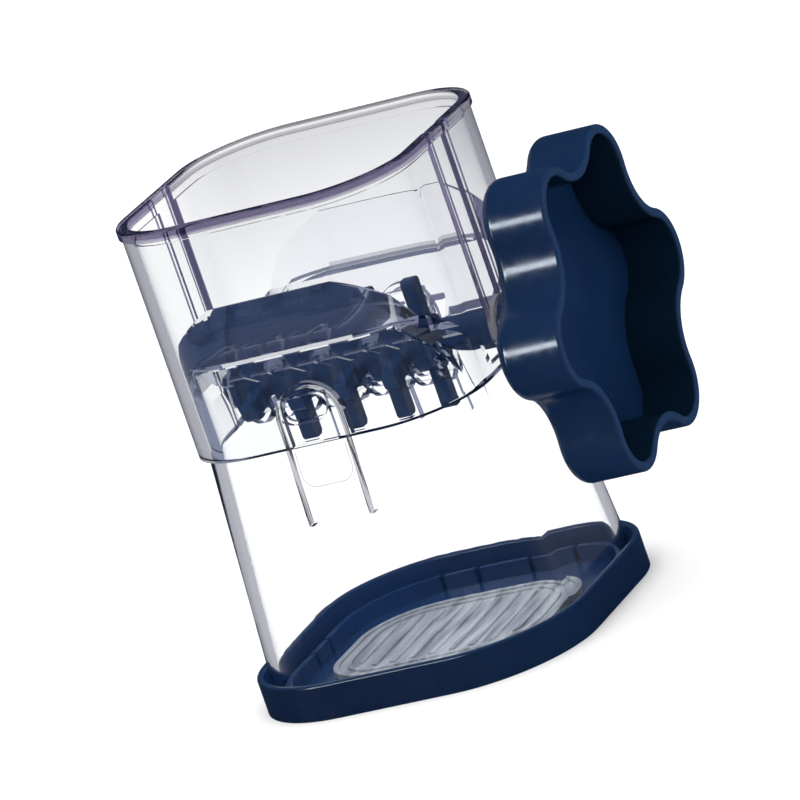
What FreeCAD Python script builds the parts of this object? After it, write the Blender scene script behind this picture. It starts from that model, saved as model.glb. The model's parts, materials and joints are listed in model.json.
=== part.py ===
import FreeCAD, Part
import Sketcher
import math
import os

# Knob-turned hand mincer: clear hopper over a clear container, toothed rotor in a slotted cradle, lobed knob.
# Millimetres. X runs along the rotor towards the knob, -Y is the front and Z is up.
# The origin is the middle of the base's underside.

SIZES = {
    # hopper
    "total_height": 104.0,
    "hopper_len": 64.4,
    "hopper_wid": 65.6,
    "hopper_corner": 18.2,
    "hopper_wall": 2.4,
    "hopper_low": 54.6,
    "rim_tall": 2.0,
    "rim_proud": 0.6,
    "rim_round": 0.5,
    "rim_step_deep": 3.2,
    "rim_step_wide": 0.5,
    # rotor axis and journals
    "axis_height": 61.4,
    "journal_radius": 4.2,
    "running_gap": 0.08,
    "groove_deep": 1.2,
    # rotor
    "core_radius": 5.5,
    "core_right": 18.0,
    "neck_end_gap": 0.4,
    "flange_radius": 7.5,
    "flange_wide": 1.8,
    "bar_reach": 13.7,
    "bar_wide": 3.0,
    "bar_thick": 3.6,
    "bar_pitch": 5.25,
    "bar_first": 21.0,
    "bar_chamfer": 0.7,
    "bar_lean": 12.0,
    # cradle
    "cradle_gap": 0.15,
    "cradle_corner_gap": 0.6,
    "locating_rib": 0.5,
    "locating_place": 9.0,
    "locating_drop": 2.5,
    "cradle_end_gap": 0.4,
    "trough_radius": 6.4,
    "trough_wall": 1.9,
    "web_wall": 1.6,
    "seat_clear": 0.4,
    "lip_top": 24.2,
    "lip_low": 12.0,
    "lip_edge": 0.6,
    "lip_slope": 66.0,
    "shelf_slope": 27.0,
    "saddle_drop": 7.5,
    "saddle_radius": 34.5,
    "trough_left": 24.6,
    "trough_right": 19.2,
    "neck_clear": 0.4,
    "flange_clear": 2.0,
    "core_end_gap": 0.4,
    "slot_gap": 0.4,
    "tip_gap": 0.5,
    # shaft, bush and knob
    "bush_radius": 5.3,
    "bush_fit": 0.05,
    "bush_flange": 6.3,
    "bush_flange_wide": 1.0,
    "hex_flats": 4.6,
    "hex_deep": 7.6,
    "hub_radius": 6.0,
    "hub_gap": 0.4,
    "hub_long": 10.7,
    "knob_radius": 35.5,
    "knob_lobe": 9.5,
    "knob_valley": 11.3,
    "knob_deep": 14.2,
    "knob_wall": 2.2,
    "knob_floor": 2.5,
    "knob_back_round": 2.6,
    "knob_rim_round": 0.7,
    # container
    "neck_gap": 0.35,
    "flap_gap": 0.35,
    "flap_half": 21.9,
    "shoulder_wide": 0.9,
    "container_wall": 2.0,
    "end_notch_half": 7.2,
    "end_notch_gap": 1.4,
    # latch
    "latch_low": 38.2,
    "latch_top": 66.9,
    "latch_half": 7.3,
    "latch_slot": 1.1,
    "latch_root_gap": 0.12,
    "button_height": 62.0,
    "button_long": 9.6,
    "button_tall": 4.8,
    "button_proud": 1.4,
    "button_gap": 0.35,
    "thumb_low": 45.6,
    "thumb_top": 53.4,
    "thumb_half": 4.8,
    "thumb_round": 2.9,
    "thumb_proud": 1.2,
    # base
    "base_len": 73.0,
    "base_wid": 75.4,
    "base_corner": 23.8,
    "base_height": 7.5,
    "base_wall": 1.5,
    "base_floor": 1.2,
    "base_gap": 0.8,
    "base_round": 0.6,
    "foot_inset": 4.0,
    "foot_wide": 2.0,
    "foot_deep": 0.4,
    "upstand_top": 4.4,
    "upstand_wall": 1.6,
    "upstand_gap": 0.4,
    "finger_half": 3.65,
    "finger_place": 10.75,
    "finger_slot": 1.2,
    # floor pad
    "pad_len": 49.0,
    "pad_wid": 40.0,
    "pad_corner": 14.0,
    "pad_thick": 0.9,
    "pad_border": 1.2,
    "pad_border_gap": 1.6,
    "rib_tall": 0.4,
    "rib_wide": 1.3,
    "rib_pitch": 4.4,
}
BARS = 8
PAD_RIBS = 9
LOBES = 6

doc = FreeCAD.newDocument("hand_mincer")
sheet = doc.addObject("Spreadsheet::Sheet", "Sizes")
for row, (alias, value) in enumerate(SIZES.items(), start=1):
    sheet.set(f"A{row}", alias)
    sheet.set(f"B{row}", str(value))
    sheet.setAlias(f"B{row}", alias)
doc.recompute()


class Dim:
    """A length with its value now and the sheet expression that keeps it up to date."""

    def __init__(self, value, text):
        self.value = value
        self.text = text

    def __add__(self, other):
        other = dim(other)
        return Dim(self.value + other.value, f"({self.text} + {other.text})")

    def __sub__(self, other):
        other = dim(other)
        return Dim(self.value - other.value, f"({self.text} - {other.text})")

    def __mul__(self, factor):
        return Dim(self.value * factor, f"({self.text} * {factor!r})")

    def __truediv__(self, factor):
        return self * (1.0 / factor)

    def __neg__(self):
        return Dim(-self.value, f"(0 - {self.text})")


def dim(value):
    return value if isinstance(value, Dim) else Dim(float(value), repr(float(value)))


def size(alias):
    return Dim(float(sheet.get(alias)), f"Sizes.{alias}")


def bind(item, **properties):
    """Sets properties to lengths and keeps them tied to the sheet."""
    for name, length in properties.items():
        item.setExpression(name, dim(length).text)


def move(item, x=0, y=0, z=0):
    for axis, length in zip("xyz", (x, y, z)):
        if isinstance(length, Dim):
            item.setExpression(f"Placement.Base.{axis}", length.text)
    return item


PLANES = {
    "xy": FreeCAD.Rotation(),
    "xz": FreeCAD.Rotation(FreeCAD.Vector(1, 0, 0), 90),
    "yz": FreeCAD.Rotation(FreeCAD.Vector(1, 1, 1), 120),
}


def new_sketch(name, plane, x=0, y=0, z=0):
    sketch = doc.addObject("Sketcher::SketchObject", name)
    sketch.Placement = FreeCAD.Placement(FreeCAD.Vector(), PLANES[plane])
    return move(sketch, x, y, z)


def drive(sketch, kind, *where, length):
    """Adds a constraint whose value follows the sheet."""
    index = sketch.addConstraint(Sketcher.Constraint(kind, *where, length.value))
    sketch.setExpression(f"Constraints[{index}]", length.text)


def pin(sketch, geometry, point, x, y):
    """Holds a point of a sketch at a place measured from the sketch's origin."""
    for kind, axis, length in (("DistanceX", -2, dim(x)), ("DistanceY", -1, dim(y))):
        if abs(length.value) < 1e-9:
            sketch.addConstraint(Sketcher.Constraint("PointOnObject", geometry, point, axis))
        elif length.value > 0:
            drive(sketch, kind, -1, 1, geometry, point, length=length)
        else:
            drive(sketch, kind, geometry, point, -1, 1, length=-length)


def arc(centre, radius, start, end):
    circle = Part.Circle(FreeCAD.Vector(centre[0], centre[1], 0), FreeCAD.Vector(0, 0, 1), radius)
    return Part.ArcOfCircle(circle, math.radians(start), math.radians(end))


def rounded_rect(name, length, width, corner, z=0):
    """A rectangle with four round corners about the vertical axis, in a level plane."""
    sketch = new_sketch(name, "xy", z=z)
    x, y, r = length.value / 2, width.value / 2, corner.value
    corners = ((x - r, r - y, 270), (x - r, y - r, 0), (r - x, y - r, 90), (r - x, r - y, 180))
    sides = (
        ((r - x, -y), (x - r, -y)),
        ((x, r - y), (x, y - r)),
        ((x - r, y), (r - x, y)),
        ((-x, y - r), (-x, r - y)),
    )
    for (begin, end), (cx, cy, turn) in zip(sides, corners):
        sketch.addGeometry(Part.LineSegment(FreeCAD.Vector(*begin, 0), FreeCAD.Vector(*end, 0)))
        sketch.addGeometry(arc((cx, cy), r, turn, turn + 90))
    for index in range(8):
        sketch.addConstraint(Sketcher.Constraint("Tangent", index, 2, (index + 1) % 8, 1))
    for index, kind in ((0, "Horizontal"), (2, "Vertical"), (4, "Horizontal"), (6, "Vertical")):
        sketch.addConstraint(Sketcher.Constraint(kind, index))
    for index in (3, 5, 7):
        sketch.addConstraint(Sketcher.Constraint("Equal", 1, index))
    sketch.addConstraint(Sketcher.Constraint("Symmetric", 1, 3, 5, 3, -1, 1))
    drive(sketch, "DistanceX", 6, 1, 2, 1, length=length)
    drive(sketch, "DistanceY", 0, 1, 4, 1, length=width)
    drive(sketch, "Radius", 1, length=corner)
    return sketch


def profile(name, plane, corners, x=0, y=0, z=0):
    """A closed outline. A corner is (x, y), or (x, y, radius, turn) where an arc leads to the next corner."""
    sketch = new_sketch(name, plane, x, y, z)
    points = [(dim(c[0]), dim(c[1])) for c in corners]
    ends = []
    for index, corner in enumerate(corners):
        begin = FreeCAD.Vector(points[index][0].value, points[index][1].value, 0)
        after = points[(index + 1) % len(points)]
        end = FreeCAD.Vector(after[0].value, after[1].value, 0)
        if len(corner) == 2:
            geometry = sketch.addGeometry(Part.LineSegment(begin, end))
            ends.append((geometry, 1, 2))
            continue
        radius, turn = corner[2], corner[3]
        chord = end - begin
        side = FreeCAD.Vector(-chord.y, chord.x, 0).normalize() * (1 if turn == "left" else -1)
        rise = math.sqrt(max(radius.value ** 2 - (chord.Length / 2) ** 2, 0.0))
        centre = (begin + end) * 0.5 + side * rise
        first, last = (begin, end) if turn == "left" else (end, begin)
        start = math.degrees(math.atan2(first.y - centre.y, first.x - centre.x))
        sweep = math.degrees(math.atan2(last.y - centre.y, last.x - centre.x)) - start
        geometry = sketch.addGeometry(arc((centre.x, centre.y), radius.value, start, start + sweep % 360))
        ends.append((geometry, 1, 2) if turn == "left" else (geometry, 2, 1))
        if abs(chord.Length - 2 * radius.value) > 1e-6:
            drive(sketch, "Radius", geometry, length=radius)
        else:
            # a half circle's ends give its radius, so only its middle is held level with them
            across = "Horizontal" if abs(chord.y) < 1e-6 else "Vertical"
            sketch.addConstraint(Sketcher.Constraint(across, geometry, 3, geometry, 1))
    for index, (geometry, begin, end) in enumerate(ends):
        after = ends[(index + 1) % len(ends)]
        sketch.addConstraint(Sketcher.Constraint("Coincident", geometry, end, after[0], after[1]))
        pin(sketch, geometry, begin, *points[index])
    return sketch


def lobed(name, radius, lobe, valley, x=0, z=0):
    """The knob's outline, square to the rotor axis: tangent arcs that bulge at each lobe and dip between."""
    sketch = new_sketch(name, "yz", x=x, z=z)
    ring = radius - lobe
    half = math.pi / LOBES
    a, b, c = lobe.value, valley.value, ring.value
    far = c * math.cos(half) + math.sqrt((a + b) ** 2 - (c * math.sin(half)) ** 2)
    for index in range(LOBES):
        at = 2 * half * index
        centre = FreeCAD.Vector(c * math.cos(at), c * math.sin(at), 0)
        before = FreeCAD.Vector(far * math.cos(at - half), far * math.sin(at - half), 0)
        after = FreeCAD.Vector(far * math.cos(at + half), far * math.sin(at + half), 0)
        behind = FreeCAD.Vector(c * math.cos(at + 2 * half), c * math.sin(at + 2 * half), 0)
        lobe_turns = [math.degrees(math.atan2(p.y - centre.y, p.x - centre.x)) for p in (before, after)]
        valley_turns = [math.degrees(math.atan2(p.y - after.y, p.x - after.x)) for p in (behind, centre)]
        lobe_turns[1] = lobe_turns[0] + (lobe_turns[1] - lobe_turns[0]) % 360
        valley_turns[1] = valley_turns[0] + (valley_turns[1] - valley_turns[0]) % 360
        sketch.addGeometry(arc((centre.x, centre.y), a, *lobe_turns))
        sketch.addGeometry(arc((after.x, after.y), b, *valley_turns))
    for index in range(LOBES):
        here, hollow, following = 2 * index, 2 * index + 1, (2 * index + 2) % (2 * LOBES)
        sketch.addConstraint(Sketcher.Constraint("Tangent", here, 2, hollow, 2))
        sketch.addConstraint(Sketcher.Constraint("Tangent", hollow, 1, following, 1))
        at = 2 * half * index
        pin(sketch, here, 3, ring * math.cos(at), ring * math.sin(at))
        if index:
            sketch.addConstraint(Sketcher.Constraint("Equal", 0, here))
            sketch.addConstraint(Sketcher.Constraint("Equal", 1, hollow))
    drive(sketch, "Radius", 0, length=lobe)
    drive(sketch, "Radius", 1, length=valley)
    return sketch


def prism(name, sketch, length, middle=False):
    """The sketch pushed out along its normal, or to both sides of its plane."""
    item = doc.addObject("Part::Extrusion", name)
    item.Base = sketch
    item.DirMode = "Normal"
    item.Solid = True
    item.Symmetric = middle
    bind(item, LengthFwd=length)
    return item


def loft(name, *sketches):
    item = doc.addObject("Part::Loft", name)
    item.Sections = list(sketches)
    item.Solid = True
    item.Ruled = True
    return item


AXES = {
    "x": FreeCAD.Rotation(FreeCAD.Vector(0, 1, 0), 90),
    "y": FreeCAD.Rotation(FreeCAD.Vector(1, 0, 0), -90),
    "z": FreeCAD.Rotation(),
}


def cylinder(name, radius, length, along, x=0, y=0, z=0):
    item = doc.addObject("Part::Cylinder", name)
    item.Placement = FreeCAD.Placement(FreeCAD.Vector(), AXES[along])
    bind(item, Radius=radius, Height=length)
    return move(item, x, y, z)


def block(name, spans):
    """A box given by its low and high end along X, Y and Z."""
    item = doc.addObject("Part::Box", name)
    (x0, x1), (y0, y1), (z0, z1) = [(dim(low), dim(high)) for low, high in spans]
    bind(item, Length=x1 - x0, Width=y1 - y0, Height=z1 - z0)
    return move(item, x0, y0, z0)


def cut(name, base, *tools):
    item = doc.addObject("Part::Cut", name)
    item.Base = base
    item.Tool = tools[0] if len(tools) == 1 else fuse(f"{name}_tools", *tools)
    return item


def fuse(name, *pieces):
    item = doc.addObject("Part::MultiFuse", name)
    item.Shapes = list(pieces)
    return item


def common(name, *pieces):
    item = doc.addObject("Part::MultiCommon", name)
    item.Shapes = list(pieces)
    return item


def fillet(name, base, radius, wanted):
    """Rounds the edges of a piece that the test picks."""
    doc.recompute()
    item = doc.addObject("Part::Fillet", name)
    item.Base = base
    edges = [i for i, edge in enumerate(base.Shape.Edges, start=1) if wanted(edge)]
    item.Edges = [(i, radius.value, radius.value) for i in edges]
    return item


def level(height):
    """Picks the edges that lie flat at a height."""
    return lambda edge: all(abs(v.Z - height.value) < 1e-4 for v in edge.Vertexes)


def upright(x):
    """Picks the edges that lie in a plane square to the rotor axis."""
    return lambda edge: all(abs(v.X - x.value) < 1e-4 for v in edge.Vertexes)


# Values that several pieces share
TALL = size("total_height")
AXIS = size("axis_height")
HOPPER_LOW = size("hopper_low")
HOPPER_X = size("hopper_len") / 2
HOPPER_Y = size("hopper_wid") / 2
WALL = size("hopper_wall")
INNER_X = HOPPER_X - WALL
INNER_Y = HOPPER_Y - WALL
INNER_CORNER = size("hopper_corner") - WALL
JOURNAL = size("journal_radius")
BORE = JOURNAL + size("running_gap")
NECK_X = INNER_X - size("neck_gap")
NECK_Y = INNER_Y - size("neck_gap")
NECK_CORNER = INNER_CORNER - size("neck_gap")
CWALL = size("container_wall")
BUTTON_FACE = NECK_Y + size("button_proud")
ROTOR_END = INNER_X + size("groove_deep") - size("neck_end_gap")
LIP_TOP = size("lip_top")
LIP_LOW = size("lip_low")
DROP = size("saddle_drop")
FLAP_TOP = LIP_LOW - size("flap_gap")
FLAP_X = size("flap_half")
FLAP_R = Dim(
    math.hypot(FLAP_X.value, (FLAP_TOP + DROP).value),
    f"sqrt({FLAP_X.text}^2 + ({FLAP_TOP.text} + {DROP.text})^2)",
)
CRADLE_X = NECK_X - CWALL - size("cradle_end_gap")
PAST = dim(2.0)
SLIVER = dim(0.05)
parts = {}


def saddle(name, half, top, radius, low):
    """Side view that is level on top and falls away in two arcs about a point below the rotor axis."""
    fall = Dim(
        math.sqrt(radius.value ** 2 - half.value ** 2) - DROP.value,
        f"(sqrt({radius.text}^2 - {half.text}^2) - {DROP.text})",
    )
    level_x = Dim(
        math.sqrt(radius.value ** 2 - (top + DROP).value ** 2),
        f"sqrt({radius.text}^2 - ({top.text} + {DROP.text})^2)",
    )
    return profile(
        name,
        "xz",
        [
            (-half, low),
            (half, low),
            (half, fall, radius, "left"),
            (level_x, top),
            (-level_x, top, radius, "left"),
            (-half, fall),
        ],
        z=AXIS,
    )


# Cradle: a funnel with a solid lip along the front and back walls and a round trough, open at both ends
LIP_Y = INNER_Y - size("cradle_gap")
LIP_IN = LIP_Y - size("lip_edge")
slope = math.tan(math.radians(SIZES["lip_slope"]))
WEB_Y = LIP_IN - (LIP_TOP - LIP_LOW) / slope
TROUGH = size("trough_radius")
TROUGH_OUT = TROUGH + size("trough_wall")
SHELF = math.radians(SIZES["shelf_slope"])
UNDER_Y = WEB_Y + size("web_wall") / math.sin(SHELF)
SADDLE_R = size("saddle_radius")


def funnel(name, wide, radius, rise):
    """The funnel's inner or outer face in end view, closed above: lips, sloping shelves and a round trough."""
    shelf = LIP_LOW - (wide - radius) * math.tan(SHELF)
    return profile(
        name,
        "yz",
        [
            (-LIP_IN, LIP_TOP + rise),
            (-LIP_IN, LIP_TOP),
            (-wide, LIP_LOW),
            (-radius, shelf),
            (-radius, 0, radius, "left"),
            (radius, 0),
            (radius, shelf),
            (wide, LIP_LOW),
            (LIP_IN, LIP_TOP),
            (LIP_IN, LIP_TOP + rise),
        ],
        z=AXIS,
    )


funnel_in = prism("funnel_in", funnel("funnel_inner", WEB_Y, TROUGH, PAST), INNER_X * 2, middle=True)
funnel_out = prism("funnel_out", funnel("funnel_outer", UNDER_Y, TROUGH_OUT, PAST), INNER_X * 2, middle=True)
cradle_plan = rounded_rect(
    "cradle_plan",
    INNER_X * 2,
    LIP_Y * 2,
    INNER_CORNER + size("cradle_corner_gap"),
    z=AXIS - TROUGH_OUT - PAST,
)
cradle_column = prism("cradle_column", cradle_plan, TROUGH_OUT + LIP_TOP + PAST * 2)
DEPTH = INNER_Y * 2 + PAST
LOWEST = -TROUGH_OUT - PAST
side_shape = prism("side_shape", saddle("lip_side", CRADLE_X, LIP_TOP, SADDLE_R, LOWEST), DEPTH, middle=True)
seat_shape = prism(
    "seat_shape",
    saddle("seat_side", CRADLE_X, LIP_LOW, FLAP_R + size("flap_gap"), LOWEST),
    DEPTH,
    middle=True,
)
cradle_blank = common("cradle_blank", cradle_column, side_shape)
lip_blocks = cut("lip_blocks", cradle_blank, seat_shape, funnel_in)
funnel_blank = common("funnel_blank", cradle_blank, funnel_out)
ramps = cut("ramps", funnel_blank, funnel_in)
OPEN_Y = TROUGH_OUT + size("neck_clear")
open_end = block(
    "open_end",
    (
        (size("trough_right"), INNER_X),
        (-OPEN_Y, OPEN_Y),
        (AXIS - TROUGH_OUT - PAST, AXIS + LIP_TOP),
    ),
)
FLANGE = size("flange_radius")
FLANGE_ROOM = FLANGE + size("flange_clear")
TROUGH_LEFT = size("trough_left")
flange_room = cylinder("flange_room", FLANGE_ROOM, INNER_X - TROUGH_LEFT, "x", x=-INNER_X, z=AXIS)
SLOT = size("bar_wide") + size("slot_gap") * 2
SWEEP = size("bar_reach") + size("tip_gap")
slots = []
BAR_X = [size("bar_pitch") * index - size("bar_first") for index in range(BARS)]
for index, place in enumerate(BAR_X):
    slots.append(cylinder(f"slot_{index + 1}", SWEEP, SLOT, "x", x=place - SLOT / 2, z=AXIS))
RIB = size("locating_rib")
locating_ribs = []
for sign in (-1, 1):
    for side in (-1, 1):
        locating_ribs.append(
            cylinder(
                f"locating_rib_{len(locating_ribs) + 1}",
                RIB,
                LIP_TOP - LIP_LOW - size("locating_drop"),
                "z",
                x=size("locating_place") * sign,
                y=(INNER_Y - RIB) * side,
                z=AXIS + LIP_LOW,
            )
        )
blank_cradle = fuse("blank_cradle", lip_blocks, ramps, *locating_ribs)
SEAT_IN = CWALL + size("seat_clear")
seat_room_plan = rounded_rect(
    "seat_room_plan",
    (NECK_X - SEAT_IN) * 2,
    (NECK_Y - SEAT_IN) * 2,
    NECK_CORNER - SEAT_IN,
    z=AXIS + LOWEST - PAST,
)
seat_room = prism("seat_room", seat_room_plan, LIP_LOW - LOWEST + PAST * 2)
neck_room = cut("neck_room", seat_shape, seat_room)
parts["grinding_cradle"] = cut("cradle", blank_cradle, neck_room, open_end, flange_room, *slots)

# Hopper: rounded box with a rim bead, open at both ends, with a bearing groove inside each end wall
hopper_plan = rounded_rect("hopper_plan", HOPPER_X * 2, HOPPER_Y * 2, size("hopper_corner"), z=HOPPER_LOW)
hopper_block = prism("hopper_block", hopper_plan, TALL - HOPPER_LOW)
PROUD = size("rim_proud")
rim_plan = rounded_rect(
    "rim_plan",
    (HOPPER_X + PROUD) * 2,
    (HOPPER_Y + PROUD) * 2,
    size("hopper_corner") + PROUD,
    z=TALL - size("rim_tall"),
)
rim_block = prism("rim_block", rim_plan, size("rim_tall"))
hollow_plan = rounded_rect("hollow_plan", INNER_X * 2, INNER_Y * 2, INNER_CORNER, z=HOPPER_LOW - PAST)
hollow = prism("hollow", hollow_plan, TALL - HOPPER_LOW + PAST * 2)
RIM_STEP = size("rim_step_wide")
step_plan = rounded_rect(
    "step_plan",
    (INNER_X + RIM_STEP) * 2,
    (INNER_Y + RIM_STEP) * 2,
    INNER_CORNER + RIM_STEP,
    z=TALL - size("rim_step_deep"),
)
rim_step = prism("rim_step", step_plan, size("rim_step_deep") + PAST)
hopper_solid = fuse("hopper_solid", hopper_block, rim_block)
hopper_walls = cut("hopper_walls", hopper_solid, hollow, rim_step)
rounded_walls = fillet("rounded_walls", hopper_walls, size("rim_round"), level(TALL))
GROOVE_X = INNER_X + size("groove_deep")
groove_outline = profile(
    "groove_outline",
    "yz",
    [
        (-BORE, TALL - AXIS + PAST),
        (-BORE, 0, BORE, "left"),
        (BORE, 0),
        (BORE, TALL - AXIS + PAST),
    ],
    z=AXIS,
)
grooves = prism("grooves", groove_outline, GROOVE_X * 2, middle=True)
HOLE = size("bush_radius") + size("bush_fit")
bush_hole = cylinder("bush_hole", HOLE, WALL + PAST * 2, "x", x=INNER_X - PAST, z=AXIS)
channels = []
windows = []
CHANNEL_Y = BUTTON_FACE + size("button_gap")
CHANNEL_X = size("button_long") / 2 + size("button_gap")
WINDOW_Z = size("button_height")
WINDOW_R = size("button_tall") / 2 + size("button_gap")
for side, sign in (("front", -1), ("back", 1)):
    reach = (-CHANNEL_Y, -INNER_Y + PAST / 2) if sign < 0 else (INNER_Y - PAST / 2, CHANNEL_Y)
    tall = (HOPPER_LOW - PAST, WINDOW_Z + WINDOW_R)
    channels.append(block(f"{side}_channel", ((-CHANNEL_X, CHANNEL_X), reach, tall)))
    window_outline = profile(
        f"{side}_window_outline",
        "xz",
        [
            (WINDOW_R - CHANNEL_X, -WINDOW_R),
            (CHANNEL_X - WINDOW_R, -WINDOW_R, WINDOW_R, "left"),
            (CHANNEL_X - WINDOW_R, WINDOW_R),
            (WINDOW_R - CHANNEL_X, WINDOW_R, WINDOW_R, "left"),
        ],
        y=(HOPPER_Y + PAST) if sign > 0 else -(INNER_Y - PAST),
        z=WINDOW_Z,
    )
    windows.append(prism(f"{side}_window", window_outline, WALL + PAST * 2))
parts["hopper_shell"] = cut("hopper", rounded_walls, grooves, bush_hole, *channels, *windows)

# Bush in the right wall: a sleeve with a flange outside
BUSH_OUT = HOPPER_X + size("bush_flange_wide")
sleeve = cylinder("sleeve", size("bush_radius"), WALL, "x", x=INNER_X, z=AXIS)
flange = cylinder("flange", size("bush_flange"), size("bush_flange_wide"), "x", x=HOPPER_X, z=AXIS)
bush_bore = cylinder("bush_bore", BORE, BUSH_OUT - INNER_X + PAST * 2, "x", x=INNER_X - PAST, z=AXIS)
bush_solid = fuse("bush_solid", sleeve, flange)
parts["shaft_bush"] = cut("bush", bush_solid, bush_bore)

# Rotor: round core with a flange at the left and a neck at each end, and flat bars, every second one turned
CORE_LEFT = TROUGH_LEFT + size("core_end_gap")
CORE_RIGHT = size("core_right")
core_rod = cylinder("core_rod", size("core_radius"), CORE_LEFT + CORE_RIGHT, "x", x=-CORE_LEFT, z=AXIS)
necks = cylinder("necks", JOURNAL, ROTOR_END * 2, "x", x=-ROTOR_END, z=AXIS)
FLANGE_WIDE = size("flange_wide")
rotor_flange = cylinder("rotor_flange", FLANGE, FLANGE_WIDE, "x", x=-CORE_LEFT - FLANGE_WIDE, z=AXIS)
FLAT = size("hex_flats") / 2
CORNER = size("hex_flats") / math.sqrt(3)
hexagon = [
    (CORNER, 0),
    (CORNER / 2, FLAT),
    (-CORNER / 2, FLAT),
    (-CORNER, 0),
    (-CORNER / 2, -FLAT),
    (CORNER / 2, -FLAT),
]
HEX_START = ROTOR_END - size("hex_deep")
HUB_START = BUSH_OUT + size("hub_gap")
HEX_END = HUB_START + size("hex_deep")
hex_rod = prism("hex_rod", profile("hex_section", "yz", hexagon, x=HEX_START, z=AXIS), HEX_END - HEX_START)
bars = []
REACH = size("bar_reach")
HALF_WIDE = size("bar_wide") / 2
HALF_THICK = size("bar_thick") / 2
BEVEL = size("bar_chamfer")
LEAN_SIN = math.sin(math.radians(SIZES["bar_lean"]))
LEAN_COS = math.cos(math.radians(SIZES["bar_lean"]))
for index, middle in enumerate(BAR_X):
    side_on = [
        (HALF_THICK - BEVEL, -REACH),
        (HALF_THICK, BEVEL - REACH),
        (HALF_THICK, REACH - BEVEL),
        (HALF_THICK - BEVEL, REACH),
        (BEVEL - HALF_THICK, REACH),
        (-HALF_THICK, REACH - BEVEL),
        (-HALF_THICK, BEVEL - REACH),
        (BEVEL - HALF_THICK, -REACH),
    ]
    if index % 2 == 0:
        side_on = [(y * LEAN_COS + x * LEAN_SIN, y * LEAN_SIN - x * LEAN_COS) for x, y in side_on]
    place = middle - HALF_WIDE
    outline = profile(f"bar_outline_{index + 1}", "yz", side_on, x=place, z=AXIS)
    bars.append(prism(f"bar_{index + 1}", outline, size("bar_wide")))
    parts[f"cutter_bar_{index + 1}"] = bars[-1]
rotor_solid = fuse("rotor_solid", core_rod, necks, rotor_flange)
parts["rotor_core"] = cut("core", rotor_solid, hex_rod, *bars)

# Spindle: hexagon rod with a round journal that turns in the bush
journal = cylinder("journal", JOURNAL, HUB_START - ROTOR_END, "x", x=ROTOR_END, z=AXIS)
parts["drive_spindle"] = fuse("spindle", hex_rod, journal)

# Knob: lobed cup on a round hub
KNOB_BACK = HUB_START + size("hub_long")
KNOB_RIM = KNOB_BACK + size("knob_deep")
LOBE = size("knob_lobe")
VALLEY = size("knob_valley")
KNOB_R = size("knob_radius")
KWALL = size("knob_wall")
cup_outline = lobed("cup_outline", KNOB_R, LOBE, VALLEY, x=KNOB_BACK, z=AXIS)
cup_solid = prism("cup_solid", cup_outline, size("knob_deep"))
round_cup = fillet("round_cup", cup_solid, size("knob_back_round"), upright(KNOB_BACK))
FLOOR_X = KNOB_BACK + size("knob_floor")
hollow_outline = lobed("hollow_outline", KNOB_R - KWALL, LOBE - KWALL, VALLEY + KWALL, x=FLOOR_X, z=AXIS)
cup_hollow = prism("cup_hollow", hollow_outline, size("knob_deep"))
hub = cylinder("hub", size("hub_radius"), size("hub_long") + size("knob_floor") / 2, "x", x=HUB_START, z=AXIS)
cup = cut("cup", round_cup, cup_hollow)
soft_cup = fillet("soft_cup", cup, size("knob_rim_round"), upright(KNOB_RIM))
cup_and_hub = fuse("cup_and_hub", soft_cup, hub)
parts["drive_knob"] = cut("knob", cup_and_hub, hex_rod)

# Container: walls that spread downwards from a shoulder, and a neck with a flap at the front and back
FLOOR_Z = size("base_floor")
SHOULDER = size("shoulder_wide")
SKIRT_X = size("base_len") / 2 - size("base_wall") - size("base_gap")
SKIRT_Y = size("base_wid") / 2 - size("base_wall") - size("base_gap")
SKIRT_CORNER = size("base_corner") - size("base_wall") - size("base_gap")


def container_solid(name, inset, ledge, below):
    """The container's outside, or its inside, as a solid: spreading skirt and straight neck."""
    spread = (SKIRT_X - NECK_X - SHOULDER) * (below.value / (HOPPER_LOW.value - FLOOR_Z.value))
    skirt = rounded_rect(
        f"{name}_skirt",
        (SKIRT_X + spread - inset) * 2,
        (SKIRT_Y + spread - inset) * 2,
        SKIRT_CORNER + spread - inset,
        z=FLOOR_Z - below,
    )
    shoulder = rounded_rect(
        f"{name}_shoulder",
        (NECK_X + ledge - inset) * 2,
        (NECK_Y + ledge - inset) * 2,
        NECK_CORNER + ledge - inset,
        z=HOPPER_LOW,
    )
    neck = rounded_rect(
        f"{name}_neck_plan",
        (NECK_X - inset) * 2,
        (NECK_Y - inset) * 2,
        NECK_CORNER - inset,
        z=HOPPER_LOW,
    )
    skirt_part = loft(f"{name}_spread", skirt, shoulder)
    neck_part = prism(f"{name}_neck", neck, AXIS + FLAP_TOP - HOPPER_LOW + below)
    return fuse(name, skirt_part, neck_part)


container_outside = container_solid("container_outside", dim(0), SHOULDER, dim(0))
container_inside = container_solid("container_inside", CWALL, dim(0), PAST)
container_tube = cut("container_tube", container_outside, container_inside)
flap_shape = prism(
    "flap_shape",
    saddle("flap_side", FLAP_R - SLIVER, FLAP_TOP, FLAP_R, -AXIS - PAST),
    (SKIRT_Y + PAST) * 2,
    middle=True,
)
skirt_keep = block(
    "skirt_keep",
    ((-SKIRT_X - PAST, SKIRT_X + PAST), (-SKIRT_Y - PAST, SKIRT_Y + PAST), (-PAST, HOPPER_LOW)),
)
flap_keep = fuse("flap_keep", flap_shape, skirt_keep)
container_walls = common("container_walls", container_tube, flap_keep)
NOTCH_Y = size("end_notch_half")
NOTCH_LOW = AXIS - JOURNAL - size("end_notch_gap")
end_notch = block(
    "end_notch",
    ((-NECK_X - PAST, NECK_X + PAST), (-NOTCH_Y, NOTCH_Y), (NOTCH_LOW, AXIS + FLAP_TOP + PAST)),
)
LATCH_LOW = size("latch_low")
LATCH_TOP = size("latch_top")
LATCH_X = size("latch_half")
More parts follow.
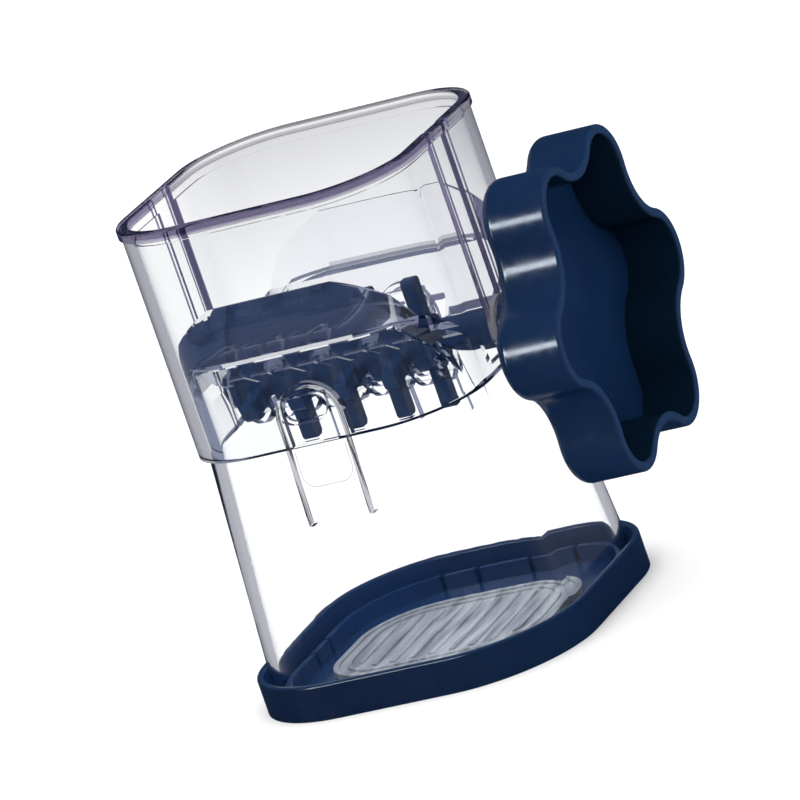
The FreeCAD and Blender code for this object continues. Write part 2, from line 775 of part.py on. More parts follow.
LATCH_SLOT = size("latch_slot")
BUTTON_X = size("button_long") / 2
BUTTON_R = size("button_tall") / 2
THUMB_Y = NECK_Y + size("thumb_proud")
latch_cuts = []
for side, sign in (("front", -1), ("back", 1)):
    outside = (SKIRT_Y + PAST) if sign > 0 else dim(0)
    for kind, half, low, top in (
        ("opening", LATCH_X, LATCH_LOW, LATCH_TOP),
        ("tongue", LATCH_X - LATCH_SLOT, LATCH_LOW + size("latch_root_gap"), LATCH_TOP - LATCH_SLOT),
    ):
        arch = profile(
            f"{side}_{kind}_outline",
            "xz",
            [(-half, low), (half, low), (half, top - half, half, "left"), (-half, top - half)],
            y=outside,
        )
        arch_solid = prism(f"{side}_{kind}", arch, SKIRT_Y + PAST)
        if kind == "opening":
            latch_cuts.append(arch_solid)
    tongue = common(f"{side}_tongue_wall", container_walls, arch_solid)
    button_outline = profile(
        f"{side}_button_outline",
        "xz",
        [
            (BUTTON_R - BUTTON_X, -BUTTON_R),
            (BUTTON_X - BUTTON_R, -BUTTON_R, BUTTON_R, "left"),
            (BUTTON_X - BUTTON_R, BUTTON_R),
            (BUTTON_R - BUTTON_X, BUTTON_R, BUTTON_R, "left"),
        ],
        y=BUTTON_FACE if sign > 0 else -(NECK_Y - CWALL / 2),
        z=WINDOW_Z,
    )
    button = prism(f"{side}_button", button_outline, size("button_proud") + CWALL / 2)
    THUMB_LOW, THUMB_TOP, THUMB_X = size("thumb_low"), size("thumb_top"), size("thumb_half")
    THUMB_ROUND = size("thumb_round")
    thumb_outline = profile(
        f"{side}_thumb_outline",
        "xz",
        [
            (THUMB_ROUND - THUMB_X, THUMB_LOW),
            (THUMB_X - THUMB_ROUND, THUMB_LOW, THUMB_ROUND, "left"),
            (THUMB_X, THUMB_LOW + THUMB_ROUND),
            (THUMB_X, THUMB_TOP),
            (-THUMB_X, THUMB_TOP),
            (-THUMB_X, THUMB_LOW + THUMB_ROUND, THUMB_ROUND, "left"),
        ],
        y=THUMB_Y if sign > 0 else -(NECK_Y - CWALL / 2),
    )
    thumb = prism(f"{side}_thumb", thumb_outline, size("thumb_proud") + CWALL / 2)
    parts[f"{side}_latch"] = fuse(f"{side}_latch_piece", tongue, button, thumb)
parts["container"] = cut("container_piece", container_walls, end_notch, *latch_cuts)

# Base tray: flange round the container, and a low upstand inside it that slits part into short lengths
BASE_X = size("base_len") / 2
BASE_Y = size("base_wid") / 2
BWALL = size("base_wall")
BASE_TOP = size("base_height")
tray_plan = rounded_rect("tray_plan", BASE_X * 2, BASE_Y * 2, size("base_corner"))
tray_block = prism("tray_block", tray_plan, BASE_TOP)
well_plan = rounded_rect(
    "well_plan", (BASE_X - BWALL) * 2, (BASE_Y - BWALL) * 2, size("base_corner") - BWALL, z=FLOOR_Z
)
well = prism("well", well_plan, BASE_TOP)
tray = cut("tray", tray_block, well)
soft_tray = fillet("soft_tray", tray, size("base_round"), level(BASE_TOP))
RISE = size("upstand_top") - FLOOR_Z
LEAN = (SKIRT_X - NECK_X) * (RISE.value / (HOPPER_LOW.value - FLOOR_Z.value))
UP_X = SKIRT_X - LEAN - CWALL - size("upstand_gap")
UP_Y = SKIRT_Y - LEAN - CWALL - size("upstand_gap")
UP_CORNER = SKIRT_CORNER - LEAN - CWALL - size("upstand_gap")
UWALL = size("upstand_wall")
up_plan = rounded_rect("up_plan", UP_X * 2, UP_Y * 2, UP_CORNER, z=FLOOR_Z)
up_block = prism("up_block", up_plan, RISE)
up_hollow_plan = rounded_rect(
    "up_hollow_plan", (UP_X - UWALL) * 2, (UP_Y - UWALL) * 2, UP_CORNER - UWALL, z=FLOOR_Z
)
up_hollow = prism("up_hollow", up_hollow_plan, RISE + PAST)
upstand = cut("upstand", up_block, up_hollow)
FINGER = size("finger_half")
SLIT = size("finger_slot")
slit_tall = (FLOOR_Z, size("upstand_top") + PAST)
slits = []


def slit(along, middle):
    """A cut right across the upstand, in two opposite walls."""
    thin = (middle - SLIT / 2, middle + SLIT / 2)
    spans = (thin, (-UP_Y - PAST, UP_Y + PAST)) if along == "y" else ((-UP_X - PAST, UP_X + PAST), thin)
    slits.append(block(f"slit_{len(slits) + 1}", (*spans, slit_tall)))


for edge in (-1, 1):
    beside = (FINGER + SLIT / 2) * edge
    slit("x", beside)
    slit("y", beside - size("finger_place"))
    slit("y", beside + size("finger_place"))
split_upstand = cut("split_upstand", upstand, *slits)
FOOT = size("foot_inset")
FOOT_IN = FOOT + size("foot_wide")
foot_rings = []
for kind, inset in (("outer", FOOT), ("inner", FOOT_IN)):
    foot_plan = rounded_rect(
        f"foot_{kind}_plan", (BASE_X - inset) * 2, (BASE_Y - inset) * 2, size("base_corner") - inset
    )
    foot_rings.append(prism(f"foot_{kind}", foot_plan, size("foot_deep")))
foot_groove = cut("foot_groove", *foot_rings)
tray_full = fuse("tray_full", soft_tray, split_upstand)
parts["base_tray"] = cut("base", tray_full, foot_groove)

# Floor pad: plate with a double border and ribs across it
PAD_X = size("pad_len") / 2
PAD_Y = size("pad_wid") / 2
PAD_CORNER = size("pad_corner")
PAD_TOP = FLOOR_Z + size("pad_thick")
pad_plan = rounded_rect("pad_plan", PAD_X * 2, PAD_Y * 2, PAD_CORNER, z=FLOOR_Z)
pad_plate = prism("pad_plate", pad_plan, size("pad_thick"))
BORDER = size("pad_border")
STEP = BORDER + size("pad_border_gap")
borders = []
for index in range(2):
    rings = []
    for kind, inset in (("outer", STEP * index), ("inner", STEP * index + BORDER)):
        ring_plan = rounded_rect(
            f"border_{index + 1}_{kind}_plan",
            (PAD_X - inset) * 2,
            (PAD_Y - inset) * 2,
            PAD_CORNER - inset,
            z=PAD_TOP,
        )
        rings.append(prism(f"border_{index + 1}_{kind}", ring_plan, size("rib_tall")))
    borders.append(cut(f"border_{index + 1}", *rings))
field_plan = rounded_rect(
    "field_plan", (PAD_X - STEP * 2) * 2, (PAD_Y - STEP * 2) * 2, PAD_CORNER - STEP * 2, z=PAD_TOP
)
field = prism("field", field_plan, size("rib_tall"))
HALF_RIB = size("rib_wide") / 2
ribs = []
for index in range(PAD_RIBS):
    middle = size("rib_pitch") * (index - (PAD_RIBS - 1) / 2)
    span = ((middle - HALF_RIB, middle + HALF_RIB), (-PAD_Y, PAD_Y), (PAD_TOP, PAD_TOP + size("rib_tall")))
    ribs.append(block(f"rib_{index + 1}", span))
rib_bars = fuse("rib_bars", *ribs)
rib_field = common("rib_field", rib_bars, field)
parts["floor_pad"] = fuse("pad", pad_plate, *borders, rib_field)

for name, item in parts.items():
    item.Label = name
doc.recompute()

faults = [item.Name for item in doc.Objects if {"Invalid", "Error"} & set(item.State)]
for name, item in parts.items():
    if item.Shape.isNull() or not item.Shape.isValid() or not item.Shape.Solids:
        faults.append(name)
if faults:
    raise RuntimeError("failed: " + ", ".join(faults))

os.makedirs("parts", exist_ok=True)
for name, item in parts.items():
    item.Shape.exportStep(f"parts/{name}.step")
    print(name, len(item.Shape.Solids), round(item.Shape.Volume, 1))
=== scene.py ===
"""Knob-turned hand mincer: finishes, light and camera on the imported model, whose solids have every shape."""
import json
import math

import bpy
from mathutils import Matrix, Vector


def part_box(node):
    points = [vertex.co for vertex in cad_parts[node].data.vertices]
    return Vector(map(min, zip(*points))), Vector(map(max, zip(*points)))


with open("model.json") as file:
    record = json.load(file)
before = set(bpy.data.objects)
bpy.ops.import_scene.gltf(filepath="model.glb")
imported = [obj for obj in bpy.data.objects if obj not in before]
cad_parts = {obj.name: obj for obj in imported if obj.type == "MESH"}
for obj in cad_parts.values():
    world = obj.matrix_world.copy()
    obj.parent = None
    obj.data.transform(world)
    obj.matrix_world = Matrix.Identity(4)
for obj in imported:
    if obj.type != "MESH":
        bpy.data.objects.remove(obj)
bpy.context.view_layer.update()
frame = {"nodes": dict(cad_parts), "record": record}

NODES = frame["nodes"]
MM = 0.001

# Camera: angles, lens and distance that put the rim, shoulder, base and knob where the photograph has them
AZIMUTH = math.radians(26.0)
ELEVATION = math.radians(13.4)
ROLL = math.radians(19.3)
DISTANCE = 1.8
LENS_MM = 404.4
SENSOR_MM = 36.0
NEAREST = 0.1
FURTHEST = 20.0
TARGET = Vector((0.0, 0.0, 52.0)) * MM
AIM_RIGHT = 4.65 * MM

# Navy plastic: its two mottled colours, each piece's painted brightness, which makes lit and shaded copies of
# the one navy, and the grain of its gloss and skin
NAVY = ((0.0029, 0.0128, 0.041), (0.0037, 0.0152, 0.048))
ROTOR_PAINTED_BRIGHTNESS = 1.6
KNOB_PAINTED_BRIGHTNESS = 1.04
TRAY_PAINTED_BRIGHTNESS = 0.8
NAVY_MOTTLE = 60.0
NAVY_GLOSS = 400.0
NAVY_ROUGH = (0.16, 0.24)
NAVY_GRAIN = 900.0
NAVY_SKIN = (0.06, 0.05 * MM)
NAVY_SHINE = 0.4

# Insides of the cup and the tray, painted shade in the knob's cup and painted light in the tray: middle line,
# directions across it, how far a face may look away from it
AXIS_Z = 61.4 * MM
CUP_PAINTED_SHADE = (0.0015, 0.0068, 0.0165)
CUP_MIDDLE = ((0.0, 0.0, AXIS_Z), (0.0, 1.0, 1.0), -5.0 * MM)
TRAY_PAINTED_LIGHT = (0.0068, 0.0275, 0.090)
TRAY_MIDDLE = ((0.0, 0.0, 0.0), (1.0, 1.0, 0.0), 20.0 * MM)

# Painted highlight along the edges of the knob's cup and of the tray
EDGE_PAINTED_HIGHLIGHT = (0.009, 0.025, 0.064)
EDGE_DEEP = 0.35 * MM
KNOB_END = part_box("drive_knob")[1][0]
KNOB_EDGE = ("X", KNOB_END - EDGE_DEEP, KNOB_END)
TRAY_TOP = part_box("base_tray")[1][2]
TRAY_EDGE = ("Z", TRAY_TOP - EDGE_DEEP, TRAY_TOP)

# Bodies of the clear plastics: how far they bend light, the colour of their inside and its density per metre
HOPPER_BODY = (1.25, (0.60, 0.57, 0.70), 26.0)
CONTAINER_BODY = (1.15, (0.62, 0.62, 0.68), 16.0)
CRADLE_BODY = (1.45, (0.62, 0.56, 0.75), 25.0)
CLEAR = (0.985, 0.985, 1.0)

# Hopper: greyer towards the top of the back wall, and a violet-tinted rim with painted reflection, darker and
# more violet towards the front, banded in height
CLEAR_HOPPER = (0.93, 0.94, 0.935)
BACK_GREY = (0.57, 0.575, 0.60)
BACK_GREY_Y = (-5.0 * MM, 25.0 * MM)
BACK_GREY_Z = (68.0 * MM, 104.0 * MM)
RIM_BACK = ((0.25, 0.25, 0.265), (0.80, 0.80, 0.82), (0.11, 0.11, 0.12))
RIM_FRONT = ((0.17, 0.15, 0.25), (0.20, 0.175, 0.285), (0.085, 0.075, 0.13))
RIM_FORWARD = (24.0 * MM, -8.0 * MM)
RIM_START = (102.0 * MM, 102.3 * MM)
RIM_MIDDLE = (102.3 * MM, 103.2 * MM)
RIM_TOP = (103.5 * MM, 103.7 * MM)

# Hopper: painted violet shade lines, partly opaque, along the edges of the guides in the end walls
GUIDE_PAINTED_SHADE = (0.13, 0.115, 0.22)
GUIDE_SHADE_OPACITY = 0.6
EDGE_HALF = 0.45 * MM
GUIDE_X = 29.5 * MM
GUIDE_Y = 4.3 * MM

# Container: the latches' tongues, their root and the slots beside them, with painted shade streaked with
# painted highlight
CLEAR_CONTAINER = (0.975, 0.98, 0.985)
LATCH_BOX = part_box("front_latch")
LATCH_HALF = LATCH_BOX[1][0]
LATCH_LOW = LATCH_BOX[0][2]
LATCH_ARCH = LATCH_BOX[1][2] - LATCH_HALF
ROOT_GAP = 0.12 * MM
SLOT_WIDE = 1.1 * MM
SLOT_NEAR = 0.1 * MM
SLOT_PAINTED_SHADE = (0.003, 0.003, 0.005)
SLOT_PAINTED_HIGHLIGHT = (0.24, 0.24, 0.27)
SLOT_STREAK = 1400.0
SLOT_DETAIL = 1.0
SLOT_STRETCH = (0.3, 1.0, 0.05)
SLOT_SPREAD = 0.07

# Container: a painted grey line for the outline of the thumb pad, whose lower part lies flush in the wall,
# standing in for the shade of its edge
THUMB_PAINTED_LINE = (0.20, 0.20, 0.23)
LINE_HALF = 0.09 * MM
THUMB_X = 5.6 * MM
THUMB_Y = 30.5 * MM
THUMB_LOW = 45.8 * MM
THUMB_TOP = 53.4 * MM
THUMB_ROUND = 2.9 * MM

# Cradle: a painted highlight line, partly opaque, along the lip's lower edge, the ribs that stand proud of the
# lip, and the cut ends
LIP_PAINTED_HIGHLIGHT = (0.80, 0.80, 0.82)
LIP_HIGHLIGHT_OPACITY = 0.75
LIP_LOW = 73.4 * MM
LIP_LINE = 0.8 * MM
LIP_FACE = 30.25 * MM
LIP_NEAR = 0.05 * MM
RIB_PROUD = 0.002 * MM
CUT_FACING = 0.9

# Pale plastic of the bush
PALE = ((0.62, 0.63, 0.68), (0.74, 0.75, 0.79))
PALE_MOTTLE = 300.0
PALE_ROUGH = 0.2
PALE_CLEAR = 0.8

# Grey pad: streaks along its ribs, and painted shade towards the left
PAD_GREY = ((0.21, 0.235, 0.275), (0.56, 0.60, 0.65))
PAD_STREAK = 420.0
PAD_DETAIL = 3.0
PAD_STRETCH = (1.0, 0.12, 0.12)
PAD_SHADE = (0.17, 0.19, 0.225)
PAD_SHADE_MOST = 0.55
PAD_LEFT = (8.0 * MM, -22.0 * MM)
PAD_ROUGH = 0.35
PAD_GRAIN = 1500.0
PAD_SKIN = (0.15, 0.08 * MM)

# Surround, and what mirrors show of it once light has passed no clear face, one or more, and three or more
FLOOR_WHITE = (0.93, 0.93, 0.93)
FLOOR_HALF = 4.0
FLOOR_ROUGH = 0.9
SKY_WHITE = (0.68, 0.68, 0.68)
FLAG_NAVY = (0.035, 0.05, 0.10)
FLAG_CLEAR = (0.44, 0.445, 0.47)
FLAG_INSIDE = (0.28, 0.31, 0.40)
BEFORE_ONE = 0.5
BEFORE_THREE = 2.5

# Lights: name, place, width and height, power. The strips only show as highlights on the outer navy pieces
LIGHT_AIM = (0.0, 0.0, 0.055)
PANEL_WHITE = (1.0, 1.0, 1.0)
PANELS = (
    ("overhead", (0.0, 0.0, 1.6), (2.4, 2.4), 26.0),
    ("front_panel", (0.66, -1.35, 1.1), (1.6, 1.0), 8.0),
    ("right_panel", (1.5, 0.1, 0.5), (0.8, 0.8), 5.0),
)
STRIP_BLUE = (0.86, 0.93, 1.0)
STRIPS = (
    ("strip_high", (-0.6, -1.17, 0.53), (1.1, 0.26), 20.0),
    ("strip_low", (-0.9, -0.9, 0.35), (0.1, 0.7), 3.0),
)
OUTER_NAVY = ("drive_knob", "base_tray")

# Bounces that let light find its way out of the clear walls
CLEAR_BOUNCES = 32


def make_camera():
    level_right = Vector((math.cos(AZIMUTH), math.sin(AZIMUTH), 0.0))
    back = Vector(
        (
            math.sin(AZIMUTH) * math.cos(ELEVATION),
            -math.cos(AZIMUTH) * math.cos(ELEVATION),
            math.sin(ELEVATION),
        )
    )
    level_up = back.cross(level_right)
    right = level_right * math.cos(ROLL) - level_up * math.sin(ROLL)
    up = level_right * math.sin(ROLL) + level_up * math.cos(ROLL)
    data = bpy.data.cameras.new("camera")
    data.lens = LENS_MM
    data.sensor_width = SENSOR_MM
    data.clip_start = NEAREST
    data.clip_end = FURTHEST
    camera = bpy.data.objects.new("camera", data)
    place = TARGET + right * AIM_RIGHT + back * DISTANCE
    turn = Matrix((right, up, back)).transposed()
    camera.matrix_world = Matrix.Translation(place) @ turn.to_4x4()
    bpy.context.scene.collection.objects.link(camera)
    bpy.context.scene.camera = camera


def shader(name):
    """A new material, its principled shader and its node tree."""
    material = bpy.data.materials.new(name)
    material.use_nodes = True
    tree = material.node_tree
    return material, tree.nodes["Principled BSDF"], tree


def feed(tree, socket, value):
    """Gives a socket a link, or a number, direction or colour of its own."""
    if isinstance(value, bpy.types.NodeSocket):
        tree.links.new(value, socket)
    elif socket.type == "RGBA":
        socket.default_value = (*value, 1.0)
    else:
        socket.default_value = value


def feed_all(tree, node, values):
    """Feeds the named sockets of a node."""
    for name, value in values.items():
        feed(tree, node.inputs[name], value)


def sums(tree, operation, *values):
    """The result of a math node on links and numbers."""
    node = tree.nodes.new("ShaderNodeMath")
    node.operation = operation
    for socket, value in zip(node.inputs, values):
        feed(tree, socket, value)
    return node.outputs["Value"]


def vectors(tree, operation, *values):
    """A vector math node fed with links and directions."""
    node = tree.nodes.new("ShaderNodeVectorMath")
    node.operation = operation
    for socket, value in zip(node.inputs, values):
        feed(tree, socket, value)
    return node


def own(tree, kind):
    """The place ("Object") or the face direction ("Normal") in the object's own axes."""
    return tree.nodes.new("ShaderNodeTexCoord").outputs[kind]


def part_along(tree, kind, axis):
    """How far the place or the face direction goes along an axis."""
    split = tree.nodes.new("ShaderNodeSeparateXYZ")
    tree.links.new(own(tree, kind), split.inputs["Vector"])
    return split.outputs[axis]


def along(tree, axis):
    """A coordinate of the object's own place."""
    return part_along(tree, "Object", axis)


def apart(tree, axis):
    """The distance from the object's middle plane across an axis."""
    return sums(tree, "ABSOLUTE", along(tree, axis))


def both(tree, first, second):
    """The share that two shares leave together."""
    return sums(tree, "MULTIPLY", first, second)


def inverse(tree, share):
    """What a share leaves of 1."""
    return sums(tree, "SUBTRACT", 1.0, share)


def reach(tree, first, second):
    """The length of two distances at a right angle."""
    squares = [sums(tree, "POWER", distance, 2.0) for distance in (first, second)]
    return sums(tree, "SQRT", sums(tree, "ADD", *squares))


def rise(tree, axis, low, high):
    """Rises from 0 to 1 between two places along an axis."""
    band = tree.nodes.new("ShaderNodeMapRange")
    feed_all(tree, band, {"Value": along(tree, axis), "From Min": low, "From Max": high})
    return band.outputs["Result"]


def laid_over(tree, under, colour, share):
    """A colour laid over another by a share of 0 to 1."""
    mix = tree.nodes.new("ShaderNodeMixRGB")
    feed_all(tree, mix, {"Fac": share, "Color1": under, "Color2": colour})
    return mix.outputs["Color"]


def noise(tree, scale, detail=2.0, stretch=(1.0, 1.0, 1.0)):
    """Noise in the object's own metres, drawn out along an axis where the stretch is below 1."""
    drawn = vectors(tree, "MULTIPLY", own(tree, "Object"), stretch).outputs["Vector"]
    texture = tree.nodes.new("ShaderNodeTexNoise")
    feed_all(tree, texture, {"Vector": drawn, "Scale": scale, "Detail": detail})
    return texture.outputs["Fac"]


def ramp(tree, source, low, high, spread=0.15):
    """Maps a texture's middle range to two colours."""
    node = tree.nodes.new("ShaderNodeValToRGB")
    node.color_ramp.elements[0].position = 0.5 - spread
    node.color_ramp.elements[1].position = 0.5 + spread
    node.color_ramp.elements[0].color = (*low, 1.0)
    node.color_ramp.elements[1].color = (*high, 1.0)
    tree.links.new(source, node.inputs["Fac"])
    return node.outputs["Color"]


def bump(tree, source, strength, depth):
    node = tree.nodes.new("ShaderNodeBump")
    feed_all(tree, node, {"Height": source, "Strength": strength, "Distance": depth})
    return node.outputs["Normal"]


def facing_in(tree, centre, across, least):
    """1 on faces that look towards a middle line and on flat ones across it, 0 on those that look away."""
    arm = vectors(tree, "SUBTRACT", own(tree, "Object"), centre).outputs["Vector"]
    flat = vectors(tree, "MULTIPLY", arm, across).outputs["Vector"]
    turned = vectors(tree, "DOT_PRODUCT", flat, own(tree, "Normal")).outputs["Value"]
    return sums(tree, "LESS_THAN", turned, least)


def navy_plastic(name, tone, middle=None, inner=None, edge=None):
    """Glossy navy at a painted brightness per piece, with painted shade in the knob's cup and painted light in
    the tray on the faces that look towards a middle line, and a painted highlight along an edge.
    """
    material, principled, tree = shader(name)
    tones = [tuple(tone * value for value in colour) for colour in NAVY]
    colour = ramp(tree, noise(tree, NAVY_MOTTLE), *tones)
    if middle:
        # Inner faces: painted shade in the knob's cup, painted light in the tray
        colour = laid_over(tree, colour, inner, facing_in(tree, *middle))
        # Painted highlight along the edge
        colour = laid_over(tree, colour, EDGE_PAINTED_HIGHLIGHT, rise(tree, *edge))
    greys = [(level, level, level) for level in NAVY_ROUGH]
    looks = {
        "Base Color": colour,
        "Roughness": ramp(tree, noise(tree, NAVY_GLOSS), *greys),
        "Normal": bump(tree, noise(tree, NAVY_GRAIN), *NAVY_SKIN),
        "Specular IOR Level": NAVY_SHINE,
    }
    feed_all(tree, principled, looks)
    return material


def clear_plastic(name, bend, inside, density):
    """Clear plastic. Thin walls bend light less than the thick cradle, so that what is inside stays sharp."""
    material, principled, tree = shader(name)
    feed_all(tree, principled, {"Transmission Weight": 1.0, "IOR": bend, "Roughness": 0.0})
    tint = tree.nodes.new("ShaderNodeVolumeAbsorption")
    feed_all(tree, tint, {"Color": inside, "Density": density})
    tree.links.new(tint.outputs["Volume"], tree.nodes["Material Output"].inputs["Volume"])
    return material, principled, tree


def seen_share(tree):
    """0 for light on its way to what stands behind the plastic, 1 for all other rays."""
    path = tree.nodes.new("ShaderNodeLightPath")
    return inverse(tree, sums(tree, "MAXIMUM", path.outputs["Is Shadow Ray"], path.outputs["Is Diffuse Ray"]))


def painted_rim_bands(tree, under, middle, top):
    """The rim's violet tint with painted reflection, in bands of painted shade and highlight that change
    upwards from its underside to its top edge.
    """
    side = laid_over(tree, under, middle, rise(tree, "Z", *RIM_MIDDLE))
    return laid_over(tree, side, top, rise(tree, "Z", *RIM_TOP))


def hopper_plastic():
    """The hopper's walls: greyer towards the top of the back, a violet-tinted rim with painted reflection, and
    painted violet shade lines at the guides' edges.
    """
    material, principled, tree = clear_plastic("clear_hopper", *HOPPER_BODY)
    # Greyer towards the top of the back wall
    greyer = both(tree, rise(tree, "Y", *BACK_GREY_Y), rise(tree, "Z", *BACK_GREY_Z))
    walls = laid_over(tree, CLEAR_HOPPER, BACK_GREY, greyer)
    # Rim: violet tint with painted reflection in bands
    back_rim, front_rim = [painted_rim_bands(tree, *bands) for bands in (RIM_BACK, RIM_FRONT)]
    rim = laid_over(tree, back_rim, front_rim, rise(tree, "Y", *RIM_FORWARD))
    rimmed = laid_over(tree, walls, rim, rise(tree, "Z", *RIM_START))
    # Painted violet shade lines along the guides' edges, partly opaque
    end_wall = sums(tree, "GREATER_THAN", apart(tree, "X"), GUIDE_X)
    edge = both(tree, end_wall, sums(tree, "COMPARE", apart(tree, "Y"), GUIDE_Y, EDGE_HALF))
    looks = {
        "Base Color": laid_over(tree, rimmed, GUIDE_PAINTED_SHADE, edge),
        "Transmission Weight": inverse(tree, both(tree, edge, GUIDE_SHADE_OPACITY)),
        "Alpha": seen_share(tree),
    }
    feed_all(tree, principled, looks)
    return material


def slot_sides(tree):
    """The grey and the pale side of the latches' slots. The grey one looks right, as seen from outside."""
    above = sums(tree, "MAXIMUM", sums(tree, "SUBTRACT", along(tree, "Z"), LATCH_ARCH), 0.0)
    outwards = reach(tree, along(tree, "X"), above)
    corner = sums(tree, "MULTIPLY", along(tree, "X"), along(tree, "Y"))
    shift = sums(tree, "MULTIPLY", sums(tree, "GREATER_THAN", corner, 0.0), SLOT_WIDE)
    grey_place = sums(tree, "ADD", shift, LATCH_HALF)
    pale_place = sums(tree, "SUBTRACT", LATCH_HALF + SLOT_WIDE, shift)
    return [sums(tree, "COMPARE", outwards, place, SLOT_NEAR) for place in (grey_place, pale_place)]


def thumb_line(tree):
    """1 on a thin line round the lower part of the thumb pads."""
    aside = sums(tree, "SUBTRACT", apart(tree, "X"), THUMB_X - THUMB_ROUND)
    below = sums(tree, "SUBTRACT", THUMB_LOW + THUMB_ROUND, along(tree, "Z"))
    curve = reach(tree, *[sums(tree, "MAXIMUM", gap, 0.0) for gap in (aside, below)])
    line = sums(tree, "COMPARE", curve, THUMB_ROUND, LINE_HALF)
    outside = sums(tree, "GREATER_THAN", apart(tree, "Y"), THUMB_Y)
    return both(tree, line, both(tree, outside, sums(tree, "LESS_THAN", along(tree, "Z"), THUMB_TOP)))


def container_plastic():
    """The container's walls and latches: painted shade streaked with painted highlight in the slots, with no
    line where a tongue grows out of the wall and none on the pale side of a slot's legs, and a painted grey
    line round the thumb pads for the shade of their edge."""
    material, principled, tree = clear_plastic("clear_container", *CONTAINER_BODY)
    height = along(tree, "Z")
    grey_side, pale_side = slot_sides(tree)
    on_arch = sums(tree, "GREATER_THAN", height, LATCH_ARCH)
    drawn = sums(tree, "MAXIMUM", grey_side, both(tree, pale_side, on_arch))
    slot = both(tree, drawn, sums(tree, "GREATER_THAN", height, LATCH_LOW))
    # Painted shade streaked with painted highlight on the slot faces
    grain = noise(tree, SLOT_STREAK, SLOT_DETAIL, SLOT_STRETCH)
    streaks = ramp(tree, grain, SLOT_PAINTED_SHADE, SLOT_PAINTED_HIGHLIGHT, SLOT_SPREAD)
    slotted = laid_over(tree, CLEAR_CONTAINER, streaks, slot)
    inside = sums(tree, "LESS_THAN", apart(tree, "X"), LATCH_HALF)
    root = both(tree, inside, sums(tree, "COMPARE", height, LATCH_LOW - ROOT_GAP / 2, ROOT_GAP))
    leg_middle, leg_half = (LATCH_ARCH + LATCH_LOW) / 2, (LATCH_ARCH - LATCH_LOW) / 2
    pale_leg = both(tree, pale_side, sums(tree, "COMPARE", height, leg_middle, leg_half))
    hidden = sums(tree, "MAXIMUM", root, pale_leg)
    # A painted grey line round the thumb pads stands in for the shade of their edge
    looks = {
        "Base Color": laid_over(tree, slotted, THUMB_PAINTED_LINE, thumb_line(tree)),
        "Alpha": both(tree, seen_share(tree), inverse(tree, hidden)),
    }
    feed_all(tree, principled, looks)
    return material


def flat_ribs(tree):
    """Face directions with the cradle's locating ribs shaded as if they were flat with the lip."""
    proud = sums(tree, "GREATER_THAN", apart(tree, "Y"), LIP_FACE + RIB_PROUD)
    kept = inverse(tree, proud)
    keep = tree.nodes.new("ShaderNodeCombineXYZ")
    feed_all(tree, keep, {"X": kept, "Y": 1.0, "Z": kept})
    flat = vectors(tree, "MULTIPLY", own(tree, "Normal"), keep.outputs["Vector"])
    return vectors(tree, "NORMALIZE", flat.outputs["Vector"]).outputs["Vector"]


def cradle_plastic():
    """The thick cradle, with a painted highlight line along the lower edge of its lip. Its cut ends aren't
    drawn, because each would show as a bright splinter."""
    material, principled, tree = clear_plastic("clear_cradle", *CRADLE_BODY)
    # Painted highlight line along the lip's lower edge, partly opaque
    strip = sums(tree, "COMPARE", along(tree, "Z"), LIP_LOW + LIP_LINE / 2, LIP_LINE / 2)
    line = both(tree, strip, sums(tree, "GREATER_THAN", apart(tree, "Y"), LIP_FACE - LIP_NEAR))
    turned = sums(tree, "ABSOLUTE", part_along(tree, "Normal", "X"))
    cut_end = sums(tree, "GREATER_THAN", turned, CUT_FACING)
    looks = {
        "Base Color": laid_over(tree, CLEAR, LIP_PAINTED_HIGHLIGHT, line),
        "Transmission Weight": inverse(tree, both(tree, line, LIP_HIGHLIGHT_OPACITY)),
        "Normal": flat_ribs(tree),
        "Alpha": both(tree, seen_share(tree), inverse(tree, cut_end)),
    }
    feed_all(tree, principled, looks)
    return material


def pale_plastic():
    material, principled, tree = shader("pale_plastic")
    mottle = ramp(tree, noise(tree, PALE_MOTTLE), *PALE)
    feed_all(
        tree, principled, {"Base Color": mottle, "Roughness": PALE_ROUGH, "Transmission Weight": PALE_CLEAR}
    )
    return material


def grey_pad():
    material, principled, tree = shader("grey_pad")
    streaks = ramp(tree, noise(tree, PAD_STREAK, PAD_DETAIL, PAD_STRETCH), *PAD_GREY)
    # Painted shade, darker towards the left
    shade = both(tree, rise(tree, "X", *PAD_LEFT), PAD_SHADE_MOST)
    looks = {
        "Base Color": laid_over(tree, streaks, PAD_SHADE, shade),
        "Roughness": PAD_ROUGH,
        "Normal": bump(tree, noise(tree, PAD_GRAIN), *PAD_SKIN),
    }
    feed_all(tree, principled, looks)
    return material


def dress_nodes():
    """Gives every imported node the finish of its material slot, or its own."""
    # Each navy piece gets its painted brightness: lit and shaded copies of the one navy
    finishes = {
        "navy_plastic": navy_plastic("navy_plastic", ROTOR_PAINTED_BRIGHTNESS),
        "pale_plastic": pale_plastic(),
        "grey_pad": grey_pad(),
    }
    walls = container_plastic()
    special = {
        "drive_knob": navy_plastic("navy_knob", KNOB_PAINTED_BRIGHTNESS, CUP_MIDDLE, CUP_PAINTED_SHADE, KNOB_EDGE),
        "base_tray": navy_plastic("navy_tray", TRAY_PAINTED_BRIGHTNESS, TRAY_MIDDLE, TRAY_PAINTED_LIGHT, TRAY_EDGE),
        "hopper_shell": hopper_plastic(),
        "grinding_cradle": cradle_plastic(),
        "container": walls,
        "front_latch": walls,
        "back_latch": walls,
    }
    for entry in frame["record"]["subparts"]:
        node = entry["node"]
        for slot in NODES[node].material_slots:
            slot.material = special[node] if node in special else finishes[entry["material_slot"]]


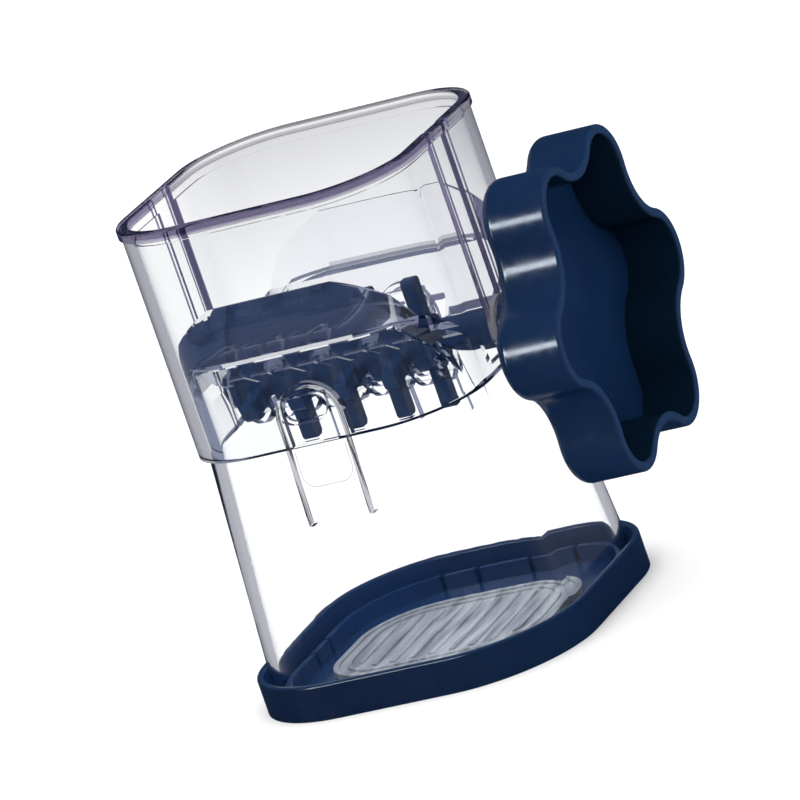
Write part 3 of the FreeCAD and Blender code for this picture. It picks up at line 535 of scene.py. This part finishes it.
def flagged(tree, plain):
    """A colour that is darker once light has been mirrored, as dark flags round a studio make it:
    darkest on the navy plastic, palest in the edges of a clear wall, between the two behind one."""
    path = tree.nodes.new("ShaderNodeLightPath")
    passed = path.outputs["Transmission Depth"]
    edge = laid_over(tree, FLAG_NAVY, FLAG_CLEAR, sums(tree, "GREATER_THAN", passed, BEFORE_ONE))
    mirrored = laid_over(tree, edge, FLAG_INSIDE, sums(tree, "GREATER_THAN", passed, BEFORE_THREE))
    return laid_over(tree, plain, mirrored, sums(tree, "MINIMUM", path.outputs["Glossy Depth"], 1.0))


def make_floor():
    half = FLOOR_HALF
    mesh = bpy.data.meshes.new("floor")
    corners = [(-half, -half, 0.0), (half, -half, 0.0), (half, half, 0.0), (-half, half, 0.0)]
    mesh.from_pydata(corners, [], [(0, 1, 2, 3)])
    floor = bpy.data.objects.new("floor", mesh)
    bpy.context.scene.collection.objects.link(floor)
    material, principled, tree = shader("pale_floor")
    white = flagged(tree, FLOOR_WHITE)
    feed_all(tree, principled, {"Base Color": white, "Roughness": FLOOR_ROUGH, "Specular IOR Level": 0.0})
    mesh.materials.append(material)


def area_light(name, place, size, power, mirrored):
    """A soft panel, or a strip that only shows as a highlight on gloss."""
    data = bpy.data.lights.new(name, "AREA")
    data.shape = "RECTANGLE"
    data.size, data.size_y = size
    data.energy = power
    data.color = STRIP_BLUE if mirrored else PANEL_WHITE
    light = bpy.data.objects.new(name, data)
    direction = Vector(LIGHT_AIM) - Vector(place)
    light.rotation_euler = direction.to_track_quat("-Z", "Y").to_euler()
    light.location = place
    light.visible_glossy = mirrored
    light.visible_diffuse = not mirrored
    light.visible_transmission = False
    bpy.context.scene.collection.objects.link(light)
    return light


def make_studio():
    """A soft even surround, large lights above and beside the object, and strips for the navy pieces."""
    world = bpy.data.worlds.new("studio")
    world.use_nodes = True
    tree = world.node_tree
    feed(tree, tree.nodes["Background"].inputs["Color"], flagged(tree, SKY_WHITE))
    bpy.context.scene.world = world
    for panel in PANELS:
        area_light(*panel, mirrored=False)
    outer = bpy.data.collections.new("outer_navy")
    for node in OUTER_NAVY:
        outer.objects.link(NODES[node])
    for strip in STRIPS:
        light = area_light(*strip, mirrored=True)
        light.light_linking.receiver_collection = outer


def main():
    scene = bpy.context.scene
    scene.view_settings.view_transform = "Standard"
    scene.view_settings.look = "None"
    scene.cycles.max_bounces = CLEAR_BOUNCES
    scene.cycles.glossy_bounces = CLEAR_BOUNCES
    scene.cycles.transmission_bounces = CLEAR_BOUNCES
    make_camera()
    make_floor()
    make_studio()
    dress_nodes()


main()
